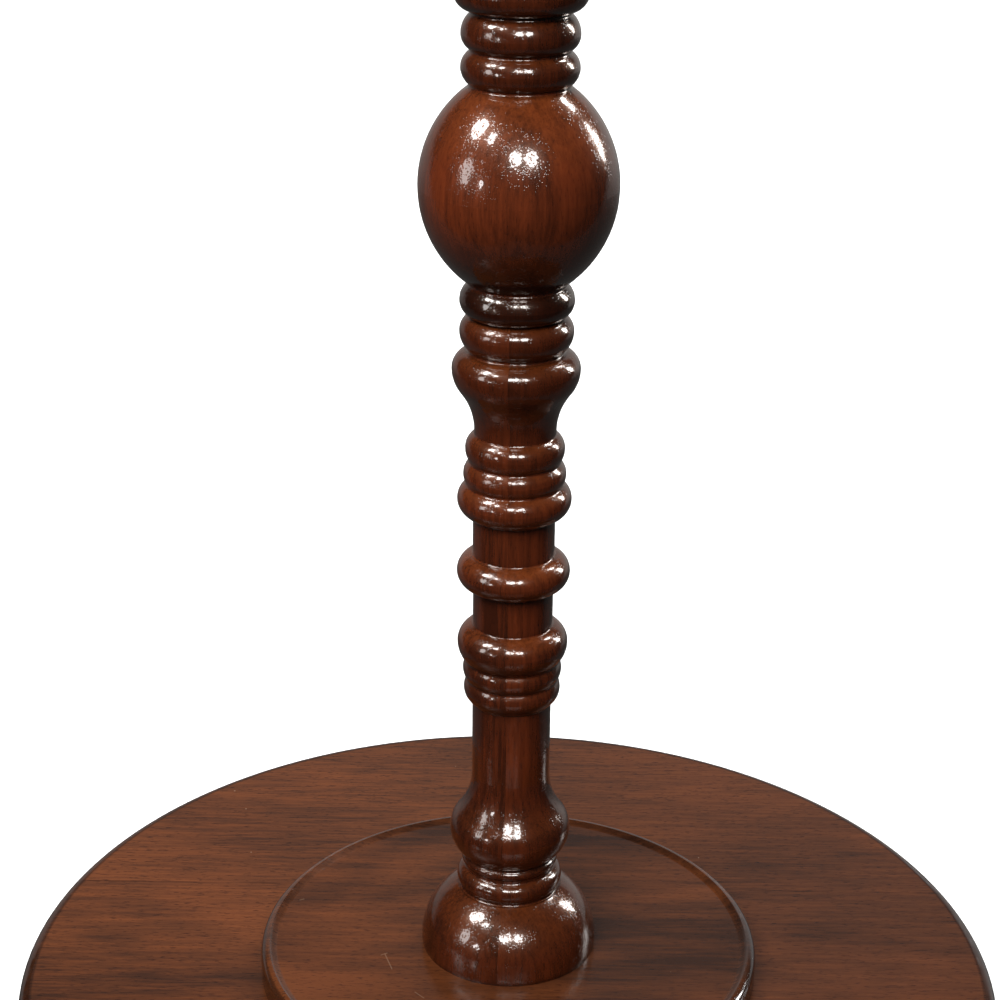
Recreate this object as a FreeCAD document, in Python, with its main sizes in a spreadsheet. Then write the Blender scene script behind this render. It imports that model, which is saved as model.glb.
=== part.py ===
import FreeCAD, Part
import math
import os
import re

import Sketcher

# Round pedestal table: a base disc and a plinth, a turned spindle in two sections, a cleat and a round top.
# The spindle's lower section is glued from two halves, and its upper section stands in it under the ball.
# The frame has +Z up, with the origin on the floor under the spindle's axis. The table's front faces -Y.

# Driving dimensions: lengths in millimetres, angles in degrees, counts and shares as plain numbers
SIZES = {
    # whole table, and how its plain shafts share the height that the turned details leave
    "table_height": 760,
    "long_shaft_share": 0.5,
    "lower_shaft_share": 0.25,
    "upper_shaft_share": 0.25,
    # floor glides and their nails
    "glide_diameter": 24,
    "glide_thickness": 2,
    "glide_edge_round": 0.8,
    "glide_inset": 31,
    "glide_count": 4,
    "nail_head_diameter": 5,
    "nail_head_thickness": 0.8,
    "nail_head_recess": 0.3,
    "nail_diameter": 2,
    "nail_length": 12,
    # base disc
    "base_diameter": 442,
    "base_thickness": 16,
    "base_edge_round": 5,
    "base_middle_board_width": 125,
    # plinth on the base, with a raised lip, and the cleat under the top
    "plinth_diameter": 225,
    "plinth_thickness": 12,
    "plinth_edge_round": 4,
    "plinth_foot_round": 2,
    "plinth_lip_height": 1.6,
    "plinth_lip_slope_width": 3.2,
    "cleat_diameter": 225,
    "cleat_thickness": 8,
    "cleat_edge_round": 5,
    "cleat_head_round": 2,
    # table top
    "top_diameter": 500,
    "top_thickness": 20,
    "top_edge_round": 9,
    "top_board_count": 5,
    # countersunk wood screws
    "screw_diameter": 4.2,
    "screw_head_diameter": 8.4,
    "screw_head_height": 2.4,
    "screw_tip_length": 3,
    "screw_tip_diameter": 1,
    "screw_slot_width": 1.2,
    "screw_slot_depth": 1.2,
    "screw_count": 4,
    "plinth_screw_length": 25,
    "cleat_screw_length": 23,
    "cleat_screw_inset": 28,
    # round tenons of the spindle and their wedges
    "tenon_diameter": 30,
    "wedge_thickness": 4,
    "wedge_tip_thickness": 1,
    "lower_wedge_length": 20,
    "upper_wedge_length": 7,
    "seam_angle": 83,
    # tenon of the spindle's upper section, in the lower section
    "section_tenon_diameter": 20,
    "section_tenon_length": 40,
    # spindle, from its seat on the plinth up to the middle of the ball
    "bun_seat_diameter": 78.2,
    "bun_heel_height": 3,
    "bun_diameter": 78.8,
    "bun_dome_height": 27.2,
    "bun_lip_diameter": 46.6,
    "collar_seat_diameter": 42,
    "collar_rise": 4.9,
    "collar_diameter": 46.8,
    "collar_fall": 5,
    "fillet_diameter": 40,
    "fillet_height": 2,
    "thin_ring_rise": 2.1,
    "thin_ring_diameter": 42.6,
    "thin_ring_fall": 2.3,
    "vase_seat_diameter": 38.4,
    "vase_rise": 13,
    "vase_diameter": 53.4,
    "vase_shoulder_height": 8.2,
    "vase_neck_height": 19.3,
    "long_shaft_diameter": 34.3,
    "first_bead_rise": 6.5,
    "first_bead_diameter": 41.9,
    "first_bead_fall": 4.2,
    "first_groove_diameter": 39.2,
    "second_bead_rise": 5.2,
    "second_bead_diameter": 42.8,
    "second_bead_fall": 3.8,
    "second_groove_diameter": 40.2,
    "lower_ring_rise": 8.8,
    "lower_ring_diameter": 47.6,
    "lower_ring_fall": 8.1,
    "lower_shaft_diameter": 34.4,
    "middle_ring_rise": 7.4,
    "middle_ring_diameter": 48.4,
    "middle_ring_fall": 7.6,
    "upper_shaft_diameter": 34.9,
    "upper_ring_rise": 7.8,
    "upper_ring_diameter": 48.4,
    "upper_ring_fall": 6.6,
    "third_groove_diameter": 40.6,
    "third_bead_rise": 4.7,
    "third_bead_diameter": 43.4,
    "third_bead_fall": 5.3,
    "fourth_groove_diameter": 38,
    "fourth_bead_rise": 6,
    "fourth_bead_diameter": 41.9,
    "fourth_bead_fall": 6.2,
    "urn_neck_diameter": 34.4,
    "urn_neck_height": 1.4,
    "urn_flare_height": 17.7,
    "urn_rise": 9.6,
    "urn_diameter": 53.4,
    "urn_fall": 7.4,
    "fifth_groove_diameter": 37.4,
    "fifth_bead_rise": 8.8,
    "fifth_bead_diameter": 47.2,
    "fifth_bead_fall": 6.5,
    "sixth_groove_diameter": 38.8,
    "sixth_bead_rise": 6.7,
    "sixth_bead_diameter": 47.3,
    "sixth_bead_fall": 6.9,
    "ball_seat_diameter": 39.6,
    "ball_rise": 40.2,
    "ball_diameter": 81,
    # small hollow rounds that the turning tool leaves in the inner corners of the spindle
    "cove_radius": 0.8,
    # room for glue around tenons, wedges, screws and nails, and how far a cut runs past a face
    "joint_clearance": 0.1,
    "overrun": 5,
}

# Turned profile of the spindle's lower section, step by step from its seat to the joint under the ball
LOWER_STEPS = [
    ("across", "bun_seat_diameter"),
    ("to_upright", "bun_heel_height", "bun_diameter"),
    ("from_upright", "bun_dome_height", "bun_lip_diameter"),
    ("across", "collar_seat_diameter"),
    ("to_upright", "collar_rise", "collar_diameter"),
    ("from_upright", "collar_fall", "fillet_diameter"),
    ("along", "fillet_height"),
    ("to_upright", "thin_ring_rise", "thin_ring_diameter"),
    ("from_upright", "thin_ring_fall", "vase_seat_diameter"),
    ("to_upright", "vase_rise", "vase_diameter"),
    ("ogee", "vase_shoulder_height", "vase_neck_height", "vase_diameter", "long_shaft_diameter"),
    ("along", "long_shaft_height"),
    ("to_upright", "first_bead_rise", "first_bead_diameter"),
    ("from_upright", "first_bead_fall", "first_groove_diameter"),
    ("to_upright", "second_bead_rise", "second_bead_diameter"),
    ("from_upright", "second_bead_fall", "second_groove_diameter"),
    ("to_upright", "lower_ring_rise", "lower_ring_diameter"),
    ("from_upright", "lower_ring_fall", "lower_shaft_diameter"),
    ("along", "lower_shaft_height"),
    ("to_upright", "middle_ring_rise", "middle_ring_diameter"),
    ("from_upright", "middle_ring_fall", "upper_shaft_diameter"),
    ("along", "upper_shaft_height"),
    ("to_upright", "upper_ring_rise", "upper_ring_diameter"),
    ("from_upright", "upper_ring_fall", "third_groove_diameter"),
    ("to_upright", "third_bead_rise", "third_bead_diameter"),
    ("from_upright", "third_bead_fall", "fourth_groove_diameter"),
    ("to_upright", "fourth_bead_rise", "fourth_bead_diameter"),
    ("from_upright", "fourth_bead_fall", "urn_neck_diameter"),
    ("along", "urn_neck_height"),
    ("ogee", "urn_flare_height", "urn_rise", "urn_neck_diameter", "urn_diameter"),
    ("from_upright", "urn_fall", "fifth_groove_diameter"),
    ("to_upright", "fifth_bead_rise", "fifth_bead_diameter"),
    ("from_upright", "fifth_bead_fall", "sixth_groove_diameter"),
]

# From the joint to the middle of the ball
BALL_STEPS = [
    ("to_upright", "sixth_bead_rise", "sixth_bead_diameter"),
    ("from_upright", "sixth_bead_fall", "ball_seat_diameter"),
    ("to_upright", "ball_rise", "ball_diameter"),
]


def step_heights(steps):
    """Sum of the heights of a profile's steps, as a formula."""
    heights = []
    for step in steps:
        if step[0] == "ogee":
            heights += [step[1], step[2]]
        elif step[0] != "across":
            heights.append(step[1])
    return " + ".join(heights)


def detail_steps(steps):
    """Steps without the plain shafts."""
    return [step for step in steps if not step[1].endswith("shaft_height")]


def turned_over(steps):
    """The same steps from the last one down to the first."""
    opposite = {"to_upright": "from_upright", "from_upright": "to_upright"}
    reversed_steps = []
    diameter = None
    for kind, *sizes in steps:
        if kind == "ogee":
            reversed_steps.append((kind, sizes[1], sizes[0], sizes[3], sizes[2]))
        elif kind == "along":
            reversed_steps.append((kind, *sizes))
        elif diameter:
            reversed_steps.append((opposite.get(kind, kind), *sizes[:-1], diameter))
        if kind != "along":
            diameter = sizes[-1]
    return reversed_steps[::-1]


# Levels above the floor, and sizes that follow from others, as formulas of the driving dimensions
LEVELS = {
    "base_level": "glide_thickness",
    "plinth_level": "glide_thickness + base_thickness",
    "seat_level": "glide_thickness + base_thickness + plinth_thickness",
    "spindle_length": "table_height - seat_level - cleat_thickness - top_thickness",
    "shaft_length": "spindle_length / 2 - (" + step_heights(detail_steps(LOWER_STEPS + BALL_STEPS)) + ")",
    "long_shaft_height": "shaft_length * long_shaft_share",
    "lower_shaft_height": "shaft_length * lower_shaft_share",
    "upper_shaft_height": "shaft_length * upper_shaft_share",
    "lower_section_length": step_heights(LOWER_STEPS),
    "upper_section_length": "spindle_length - lower_section_length",
    "section_level": "seat_level + lower_section_length",
    "cleat_level": "section_level + upper_section_length",
    "top_level": "cleat_level + cleat_thickness",
    "glide_circle_diameter": "base_diameter - 2 * glide_inset",
    "plinth_screw_circle_diameter": "(base_middle_board_width + plinth_diameter) / 2",
    "cleat_screw_circle_diameter": "cleat_diameter - 2 * cleat_screw_inset",
    "lower_tenon_length": "plinth_thickness + base_thickness",
    "upper_tenon_length": "cleat_thickness",
    "mortise_diameter": "tenon_diameter + 2 * joint_clearance",
    "socket_diameter": "section_tenon_diameter + 2 * joint_clearance",
    "socket_depth": "section_tenon_length + joint_clearance",
    "wedge_width": "sqrt(tenon_diameter ^ 2 - wedge_thickness ^ 2)",
    "screw_hole_diameter": "screw_diameter + 2 * joint_clearance",
    "screw_sink_diameter": "screw_head_diameter + 2 * joint_clearance",
    "nail_hole_diameter": "nail_diameter + 2 * joint_clearance",
    "nail_sink_diameter": "nail_head_diameter + 2 * joint_clearance",
    "nail_reach": "nail_head_recess + nail_length - glide_thickness",
    "plinth_screw_reach": "plinth_screw_length - base_thickness",
    "cleat_screw_reach": "cleat_screw_length - cleat_thickness",
}

# How far beside an edge the shape is probed for a hollow, as shares of the cove's radius
PROBE_OUTWARD_SHARE = 0.2
PROBE_UPWARD_SHARE = 0.75
# Bend in radians that makes a corner
SHARP_ANGLE = 0.2

doc = FreeCAD.newDocument("spindle_table")
sheet = doc.addObject("Spreadsheet::Sheet", "Sizes")
for row, (alias, content) in enumerate({**SIZES, **LEVELS}.items(), start=1):
    sheet.set(f"A{row}", alias)
    sheet.set(f"B{row}", str(content) if alias in SIZES else "=" + content)
    sheet.setAlias(f"B{row}", alias)
doc.recompute()

sub_parts = []


def value(formula):
    """Number that a formula of the sheet's sizes stands for."""
    return float(sheet.evalExpression(formula))


def bound(formula):
    """The same formula as other objects of the document write it."""
    known = {**SIZES, **LEVELS}
    return re.sub(r"[a-z_]+", lambda word: "Sizes." + word[0] if word[0] in known else word[0], formula)


def bind(thing, **formulas):
    """Bind properties of an object to formulas; two underscores stand for a dot in a property's path."""
    for path, formula in formulas.items():
        thing.setExpression(path.replace("__", "."), bound(formula))


def new_body(label, level="0", turn="0", exported=True):
    """Empty body on the table's axis, at a level above the floor, turned about that axis."""
    body = doc.addObject("PartDesign::Body", label)
    body.Label = label
    body.AllowCompound = True
    bind(body, Placement__Base__z=level, Placement__Rotation__Angle=turn)
    if exported:
        sub_parts.append(body)
    return body


def new_sketch(body, name, plane, **offsets):
    """Sketch on one of the body's own origin planes, moved from it by formulas."""
    sketch = body.newObject("Sketcher::SketchObject", name)
    origin_plane = [item for item in body.Origin.OriginFeatures if item.Role == plane][0]
    sketch.AttachmentSupport = [(origin_plane, "")]
    sketch.MapMode = "FlatFace"
    bind(sketch, **{f"AttachmentOffset__Base__{axis}": formula for axis, formula in offsets.items()})
    return sketch


def ogee_middle(first_height, second_height, first_diameter, second_diameter):
    """Diameter where the two arcs of an ogee meet: on the straight line between its ends."""
    return (
        f"({first_diameter} * {second_height} + {second_diameter} * {first_height})"
        f" / ({first_height} + {second_height})"
    )


def plain_steps(steps):
    """Steps with each ogee as two arcs that meet in a common tangent."""
    plain = []
    for step in steps:
        if step[0] == "ogee":
            plain.append(("from_upright", step[1], ogee_middle(*step[1:])))
            plain.append(("to_upright", step[2], step[4]))
        else:
            plain.append(step)
    return plain


def arc_between(start, end, upright):
    """Arc from start to end whose tangent is upright at one of them, and whether it runs from start."""
    other = end if upright is start else start
    height = end[1] - start[1]
    centre_x = (upright[0] + other[0]) / 2 - height**2 / (2 * (upright[0] - other[0]))
    radius = abs(upright[0] - centre_x)
    angles = [math.atan2(point[1] - upright[1], point[0] - centre_x) for point in (start, end)]
    runs_from_start = (angles[1] - angles[0]) % (2 * math.pi) < math.pi
    if not runs_from_start:
        angles.reverse()
    centre = FreeCAD.Vector(centre_x, upright[1], 0)
    circle = Part.Circle(centre, FreeCAD.Vector(0, 0, 1), radius)
    return Part.ArcOfCircle(circle, *angles), runs_from_start


def turned_sketch(body, name, bore, steps, **offsets):
    """Closed profile of a turned piece: from the bore outwards, up the steps and back to the bore."""
    sketch = new_sketch(body, name, "XZ_Plane", **offsets)
    steps = plain_steps(steps) + [("across", bore)]
    points = [(value(bore) / 2, 0.0)]
    for kind, *sizes in steps:
        radius = points[-1][0] if kind == "along" else value(sizes[-1]) / 2
        height = 0.0 if kind == "across" else value(sizes[0])
        points.append((radius, points[-1][1] + height))

    curves = []
    ends = []
    for (kind, *_), start, end in zip(steps, points, points[1:]):
        forward = True
        if kind in ("to_upright", "from_upright"):
            curve, forward = arc_between(start, end, end if kind == "to_upright" else start)
        else:
            curve = Part.LineSegment(FreeCAD.Vector(*start, 0), FreeCAD.Vector(*end, 0))
        curves.append(curve)
        ends.append((1, 2) if forward else (2, 1))
    curves.append(Part.LineSegment(FreeCAD.Vector(*points[-1], 0), FreeCAD.Vector(*points[0], 0)))
    ends.append((1, 2))
    sketch.addGeometry(curves, False)

    rules = []
    formulas = {}

    def dimension(rule, formula):
        formulas[len(rules)] = formula
        rules.append(rule)

    for index in range(len(curves)):
        following = (index + 1) % len(curves)
        rules.append(Sketcher.Constraint("Coincident", index, ends[index][1], following, ends[following][0]))
    if bore == "0":
        rules.append(Sketcher.Constraint("PointOnObject", 0, ends[0][0], -2))
    else:
        radius = points[0][0]
        dimension(Sketcher.Constraint("DistanceX", -1, 1, 0, ends[0][0], radius), f"({bore}) / 2")
    rules.append(Sketcher.Constraint("PointOnObject", 0, ends[0][0], -1))
    rules.append(Sketcher.Constraint("Vertical", len(curves) - 1))
    for index, (kind, *sizes) in enumerate(steps):
        first, last = ends[index]
        start, end = points[index], points[index + 1]
        if kind == "along":
            rules.append(Sketcher.Constraint("Vertical", index))
        elif index < len(steps) - 1:
            radius = Sketcher.Constraint("DistanceX", -1, 1, index, last, end[0])
            dimension(radius, f"({sizes[-1]}) / 2")
        if kind == "across":
            rules.append(Sketcher.Constraint("Horizontal", index))
        else:
            height = Sketcher.Constraint("DistanceY", index, first, index, last, end[1] - start[1])
            dimension(height, sizes[0])
        if kind in ("to_upright", "from_upright"):
            upright = last if kind == "to_upright" else first
            rules.append(Sketcher.Constraint("Horizontal", index, 3, index, upright))
    sketch.addConstraint(rules)
    for index, formula in formulas.items():
        sketch.setExpression(f"Constraints[{index}]", bound(formula))
    return sketch


def rectangle_sketch(body, name, plane, width, height, **offsets):
    """Rectangle centred across its plane's upright axis and standing on the other one."""
    return tapered_sketch(body, name, plane, width, width, height, **offsets)


def tapered_sketch(body, name, plane, width, far_width, height, **offsets):
    """Wedge outline, centred across its plane's upright axis, from width at the axis to far_width."""
    sketch = new_sketch(body, name, plane, **offsets)
    near, far, reach = value(width) / 2, value(far_width) / 2, value(height)
    corners = [(-near, 0.0), (near, 0.0), (far, reach), (-far, reach)]
    corners = [FreeCAD.Vector(*corner, 0) for corner in corners]
    sketch.addGeometry([Part.LineSegment(corners[i], corners[(i + 1) % 4]) for i in range(4)], False)
    rules = [Sketcher.Constraint("Coincident", i, 2, (i + 1) % 4, 1) for i in range(4)]
    rules.append(Sketcher.Constraint("PointOnObject", 0, 1, -1))
    rules.append(Sketcher.Constraint("Symmetric", 0, 1, 0, 2, -2))
    rules.append(Sketcher.Constraint("Symmetric", 2, 1, 2, 2, -2))
    formulas = {len(rules): width, len(rules) + 1: far_width, len(rules) + 2: height}
    rules.append(Sketcher.Constraint("DistanceX", 0, 1, 0, 2, 2 * near))
    rules.append(Sketcher.Constraint("DistanceX", 2, 2, 2, 1, 2 * far))
    rules.append(Sketcher.Constraint("DistanceY", 1, 1, 1, 2, reach))
    sketch.addConstraint(rules)
    for index, formula in formulas.items():
        sketch.setExpression(f"Constraints[{index}]", bound(formula))
    return sketch


def feature(body, kind, name, sketch, **settings):
    """Feature made from a sketch of the same body."""
    made = body.newObject(f"PartDesign::{kind}", name)
    made.Profile = sketch
    if kind in ("Revolution", "Groove"):
        made.ReferenceAxis = (sketch, ["V_Axis"])
    for setting, content in settings.items():
        setattr(made, setting, content)
    sketch.Visibility = False
    doc.recompute()
    return made


def ring_of(body, name, originals, count):
    """The same features repeated evenly around the table's axis."""
    pattern = body.newObject("PartDesign::PolarPattern", name)
    pattern.Originals = originals
    axis = [item for item in body.Origin.OriginFeatures if item.Role == "Z_Axis"][0]
    pattern.Axis = (axis, [""])
    pattern.Angle = 360
    bind(pattern, Occurrences=count)
    body.Tip = pattern
    doc.recompute()
    return pattern


def ring_of_holes(body, name, steps, circle, level, count):
    """Round holes on a circle around the table's axis, each cut by a turned profile."""
    sketch = turned_sketch(body, name + "_profile", "0", steps, x=f"{circle} / 2", y=level)
    hole = feature(body, "Groove", name, sketch, Angle=360)
    return ring_of(body, name + "_ring", [hole], count)


def disc_steps(diameter, thickness, lower_round, upper_round):
    """Profile steps of a flat disc with rounded edges."""
    return [
        ("across", f"{diameter} - 2 * {lower_round}"),
        ("to_upright", lower_round, diameter),
        ("along", f"{thickness} - {lower_round} - {upper_round}"),
        ("from_upright", upper_round, f"{diameter} - 2 * {upper_round}"),
    ]


def disc(label, level, bore, steps, exported=True):
    """Turned disc with a round hole through its middle, or none."""
    body = new_body(label, level, exported=exported)
    sketch = turned_sketch(body, label + "_profile", bore, steps)
    feature(body, "Revolution", label + "_turned", sketch, Angle=360)
    return body


def through_hole_steps(thickness):
    """Steps of a countersunk screw hole that goes through a disc from below."""
    return [
        ("across", "screw_sink_diameter"),
        ("along", "overrun"),
        ("cone", "screw_head_height", "screw_hole_diameter"),
        ("along", f"{thickness} - screw_head_height + overrun"),
    ]


def blind_hole_steps(diameter, depth):
    """Steps of a round hole of a given depth, cut from below."""
    return [("across", diameter), ("along", f"overrun + {depth} + joint_clearance")]


def boards(blank, label, diameter, thickness, level, joints):
    """Boards of a glued-up disc: the turned blank, parted along its joint lines from front to back."""
    lines = [f"-{diameter} / 2 - overrun", *joints, f"{diameter} / 2 + overrun"]
    for number, (front, back) in enumerate(zip(lines, lines[1:]), start=1):
        plank = doc.addObject("Part::Box", f"{label}_plank_{number}")
        bind(
            plank,
            Length=f"{diameter} + 2 * overrun",
            Width=f"({back}) - ({front})",
            Height=f"{thickness} + 2 * overrun",
            Placement__Base__x=f"-{diameter} / 2 - overrun",
            Placement__Base__y=front,
            Placement__Base__z=f"{level} - overrun",
        )
        board = doc.addObject("Part::Common", f"{label}_{number}")
        board.Label = f"{label}_{number}"
        board.Base = blank
        board.Tool = plank
        sub_parts.append(board)


def base():
    """Round base of three boards, with the tenon's mortise and holes for screws and glide nails."""
    steps = disc_steps("base_diameter", "base_thickness", "base_edge_round", "base_edge_round")
    blank = disc("base_blank", "base_level", "mortise_diameter", steps, exported=False)
    screw_hole = through_hole_steps("base_thickness")
    ring_of_holes(blank, "screw_hole", screw_hole, "plinth_screw_circle_diameter", "-overrun", "screw_count")
    nail_hole = blind_hole_steps("nail_hole_diameter", "nail_reach")
    ring_of_holes(blank, "nail_hole", nail_hole, "glide_circle_diameter", "-overrun", "glide_count")
    joints = ["-base_middle_board_width / 2", "base_middle_board_width / 2"]
    boards(blank, "base_board", "base_diameter", "base_thickness", "base_level", joints)


def plinth():
    """Smaller disc on the base, under the spindle, with a lip around its flat top."""
    height = "(plinth_thickness + plinth_lip_height)"
    steps = disc_steps("plinth_diameter", height, "plinth_foot_round", "plinth_edge_round")
    flat_diameter = "plinth_diameter - 2 * plinth_edge_round - 2 * plinth_lip_slope_width"
    steps.append(("cone", "-plinth_lip_height", flat_diameter))
    body = disc("plinth", "plinth_level", "mortise_diameter", steps)
    hole = blind_hole_steps("screw_hole_diameter", "plinth_screw_reach")
    ring_of_holes(body, "plinth_hole", hole, "plinth_screw_circle_diameter", "-overrun", "screw_count")


def cleat():
    """Disc between the spindle and the table top."""
    steps = disc_steps("cleat_diameter", "cleat_thickness", "cleat_edge_round", "cleat_head_round")
    body = disc("top_cleat", "cleat_level", "mortise_diameter", steps)
    hole = through_hole_steps("cleat_thickness")
    ring_of_holes(body, "cleat_hole", hole, "cleat_screw_circle_diameter", "-overrun", "screw_count")


def top():
    """Round table top of equal boards, with blind holes for the cleat's screws."""
    steps = disc_steps("top_diameter", "top_thickness", "top_edge_round", "top_edge_round")
    blank = disc("top_blank", "top_level", "0", steps, exported=False)
    hole = blind_hole_steps("screw_hole_diameter", "cleat_screw_reach")
    ring_of_holes(blank, "top_hole", hole, "cleat_screw_circle_diameter", "-overrun", "screw_count")
    count = SIZES["top_board_count"]
    joints = [f"top_diameter * ({number} / top_board_count - 1 / 2)" for number in range(1, count)]
    boards(blank, "top_board", "top_diameter", "top_thickness", "top_level", joints)


def tenon(body, name, length, level, wedge_length, downwards, angle):
    """Round or half-round tenon at one end of a spindle piece, slotted for its wedge."""
    steps = [("across", "tenon_diameter"), ("along", length)]
    foot = f"{level} - {length}" if downwards else level
    sketch = turned_sketch(body, name + "_profile", "0", steps, y=foot)
    feature(body, "Revolution", name, sketch, Angle=angle)
    end_width = "wedge_thickness + 2 * joint_clearance"
    tip_width = "wedge_tip_thickness + 2 * joint_clearance"
    depth = f"{wedge_length} + joint_clearance"
    near, far = (end_width, tip_width) if downwards else (tip_width, end_width)
    slot_foot = foot if downwards else f"{level} + {length} - {wedge_length} - joint_clearance"
    slot = tapered_sketch(body, name + "_slot_outline", "YZ_Plane", near, far, depth, y=slot_foot)
    feature(body, "Pocket", name + "_slot", slot, Type="ThroughAll", SideType="Symmetric")


def inner_corners(shape):
    """Names of the round edges that lie in a hollow of a turned shape."""
    names = []
    for number, edge in enumerate(shape.Edges, start=1):
        if not isinstance(edge.Curve, Part.Circle):
            continue
        middle = edge.valueAt((edge.FirstParameter + edge.LastParameter) / 2)
        faces = shape.ancestorsOfType(edge, Part.Face)
        normals = [face.normalAt(*face.Surface.parameter(middle)) for face in faces]
        outward = FreeCAD.Vector(middle.x, middle.y, 0).normalize()
        outward *= PROBE_OUTWARD_SHARE * value("cove_radius")
        upward = FreeCAD.Vector(0, 0, PROBE_UPWARD_SHARE * value("cove_radius"))
        beside = [middle + outward + upward, middle + outward - upward]
        hollow = any(shape.isInside(point, 1e-6, False) for point in beside)
        if hollow and len(normals) == 2 and normals[0].getAngle(normals[1]) > SHARP_ANGLE:
            names.append(f"Edge{number}")
    return names


def coves(body, name):
    """Small hollow rounds in the inner corners of the turned shape so far."""
    turned = body.Tip
    cove = body.newObject("PartDesign::Fillet", name)
    cove.Base = (turned, inner_corners(turned.Shape))
    bind(cove, Radius="cove_radius")
    doc.recompute()


def lower_spindle_half(label, turn):
    """One half of the spindle's lower section, parted at the glue seam, with half its tenon and socket."""
    body = new_body(label, "seat_level", turn)
    sketch = turned_sketch(body, label + "_profile", "0", LOWER_STEPS)
    feature(body, "Revolution", label + "_turned", sketch, Angle=180)
    coves(body, label + "_coves")
    tenon(body, label + "_tenon", "lower_tenon_length", "0", "lower_wedge_length", True, 180)
    steps = [("across", "socket_diameter"), ("along", "socket_depth + overrun")]
    foot = "lower_section_length - socket_depth"
    socket = turned_sketch(body, label + "_socket_profile", "0", steps, y=foot)
    feature(body, "Groove", label + "_socket", socket, Angle=360)


def upper_spindle():
    """Upper section of the spindle: the ball, and above it the lower half's profile turned over."""
    body = new_body("upper_spindle", "section_level", "seam_angle")
    steps = [("across", "sixth_groove_diameter")] + BALL_STEPS + turned_over(LOWER_STEPS + BALL_STEPS)
    sketch = turned_sketch(body, "upper_spindle_profile", "0", steps)
    feature(body, "Revolution", "upper_spindle_turned", sketch, Angle=360)
    coves(body, "upper_spindle_coves")
    steps = [("across", "section_tenon_diameter"), ("along", "section_tenon_length")]
    sketch = turned_sketch(body, "section_tenon_profile", "0", steps, y="-section_tenon_length")
    feature(body, "Revolution", "section_tenon", sketch, Angle=360)
    level = "upper_section_length"
    tenon(body, "upper_tenon", "upper_tenon_length", level, "upper_wedge_length", False, 360)


def wedge(label, level, length, points_up):
    """Thin wedge in a tenon's slot, as wide as the tenon is thick."""
    body = new_body(label, level, "seam_angle")
    widths = ("wedge_thickness", "wedge_tip_thickness")
    near, far = widths if points_up else widths[::-1]
    sketch = tapered_sketch(body, label + "_outline", "YZ_Plane", near, far, length)
    pad = feature(body, "Pad", label + "_pad", sketch, SideType="Symmetric")
    bind(pad, Length="wedge_width")


def screws(label, level, length, circle):
    """Countersunk wood screws on a circle, heads down."""
    body = new_body(label, level)
    steps = [
        ("across", "screw_head_diameter"),
        ("cone", "screw_head_height", "screw_diameter"),
        ("along", f"{length} - screw_head_height - screw_tip_length"),
        ("cone", "screw_tip_length", "screw_tip_diameter"),
    ]
    sketch = turned_sketch(body, label + "_profile", "0", steps, x=f"{circle} / 2")
    shank = feature(body, "Revolution", label + "_shank", sketch, Angle=360)
    slot_level = "-overrun"
    slot_depth = "overrun + screw_slot_depth"
    width = "screw_slot_width"
    outline = rectangle_sketch(body, label + "_slot_outline", "YZ_Plane", width, slot_depth, y=slot_level)
    slot = feature(body, "Pocket", label + "_slot", outline, Type="ThroughAll", SideType="Symmetric")
    ring_of(body, label + "_ring", [shank, slot], "screw_count")


def glides():
    """Round floor glides under the base, each sunk for its nail's head."""
    body = new_body("floor_glides")
    steps = [
        ("across", "glide_diameter - 2 * glide_edge_round"),
        ("to_upright", "glide_edge_round", "glide_diameter"),
        ("along", "glide_thickness - glide_edge_round"),
        ("across", "nail_hole_diameter"),
        ("along", "nail_head_recess + nail_head_thickness - glide_thickness"),
    ]
    sketch = turned_sketch(body, "glide_profile", "nail_sink_diameter", steps, x="glide_circle_diameter / 2")
    glide = feature(body, "Revolution", "glide", sketch, Angle=360)
    ring_of(body, "glide_ring", [glide], "glide_count")


def nails():
    """Flat-headed nails that hold the glides."""
    body = new_body("glide_nails", "nail_head_recess")
    steps = [
        ("across", "nail_head_diameter"),
        ("along", "nail_head_thickness"),
        ("across", "nail_diameter"),
        ("along", "nail_length - nail_head_thickness"),
    ]
    sketch = turned_sketch(body, "nail_profile", "0", steps, x="glide_circle_diameter / 2")
    nail = feature(body, "Revolution", "nail", sketch, Angle=360)
    ring_of(body, "nail_ring", [nail], "glide_count")


def check_model():
    """Stop if any object failed, any cut removed nothing or any sub-part is empty or broken."""
    for item in doc.Objects:
        if "Invalid" in item.State or "Error" in item.State:
            raise RuntimeError(f"{item.Label} failed: {item.State}")
        if item.TypeId in ("PartDesign::Groove", "PartDesign::Pocket"):
            if item.Shape.Volume >= item.BaseFeature.Shape.Volume:
                raise RuntimeError(f"{item.Label} cuts nothing")
    for part in sub_parts:
        if part.Shape.isNull() or not part.Shape.isValid() or not part.Shape.Solids:
            raise RuntimeError(f"{part.Label} has no valid solid")


glides()
nails()
base()
plinth()
lower_spindle_half("lower_spindle_left_half", "seam_angle")
lower_spindle_half("lower_spindle_right_half", "seam_angle + 180")
upper_spindle()
wedge("lower_wedge", "base_level", "lower_wedge_length", True)
wedge("upper_wedge", "top_level - upper_wedge_length", "upper_wedge_length", False)
cleat()
top()
screws("plinth_screws", "base_level", "plinth_screw_length", "plinth_screw_circle_diameter")
screws("cleat_screws", "cleat_level", "cleat_screw_length", "cleat_screw_circle_diameter")
doc.recompute()
check_model()

os.makedirs("parts", exist_ok=True)
for part in sub_parts:
    part.Shape.exportStep(f"parts/{part.Label}.step")
    print(part.Label, len(part.Shape.Solids), "solids", round(part.Shape.Volume), "cubic mm")
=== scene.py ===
import math

import bpy
from mathutils import Matrix, Vector


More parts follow.
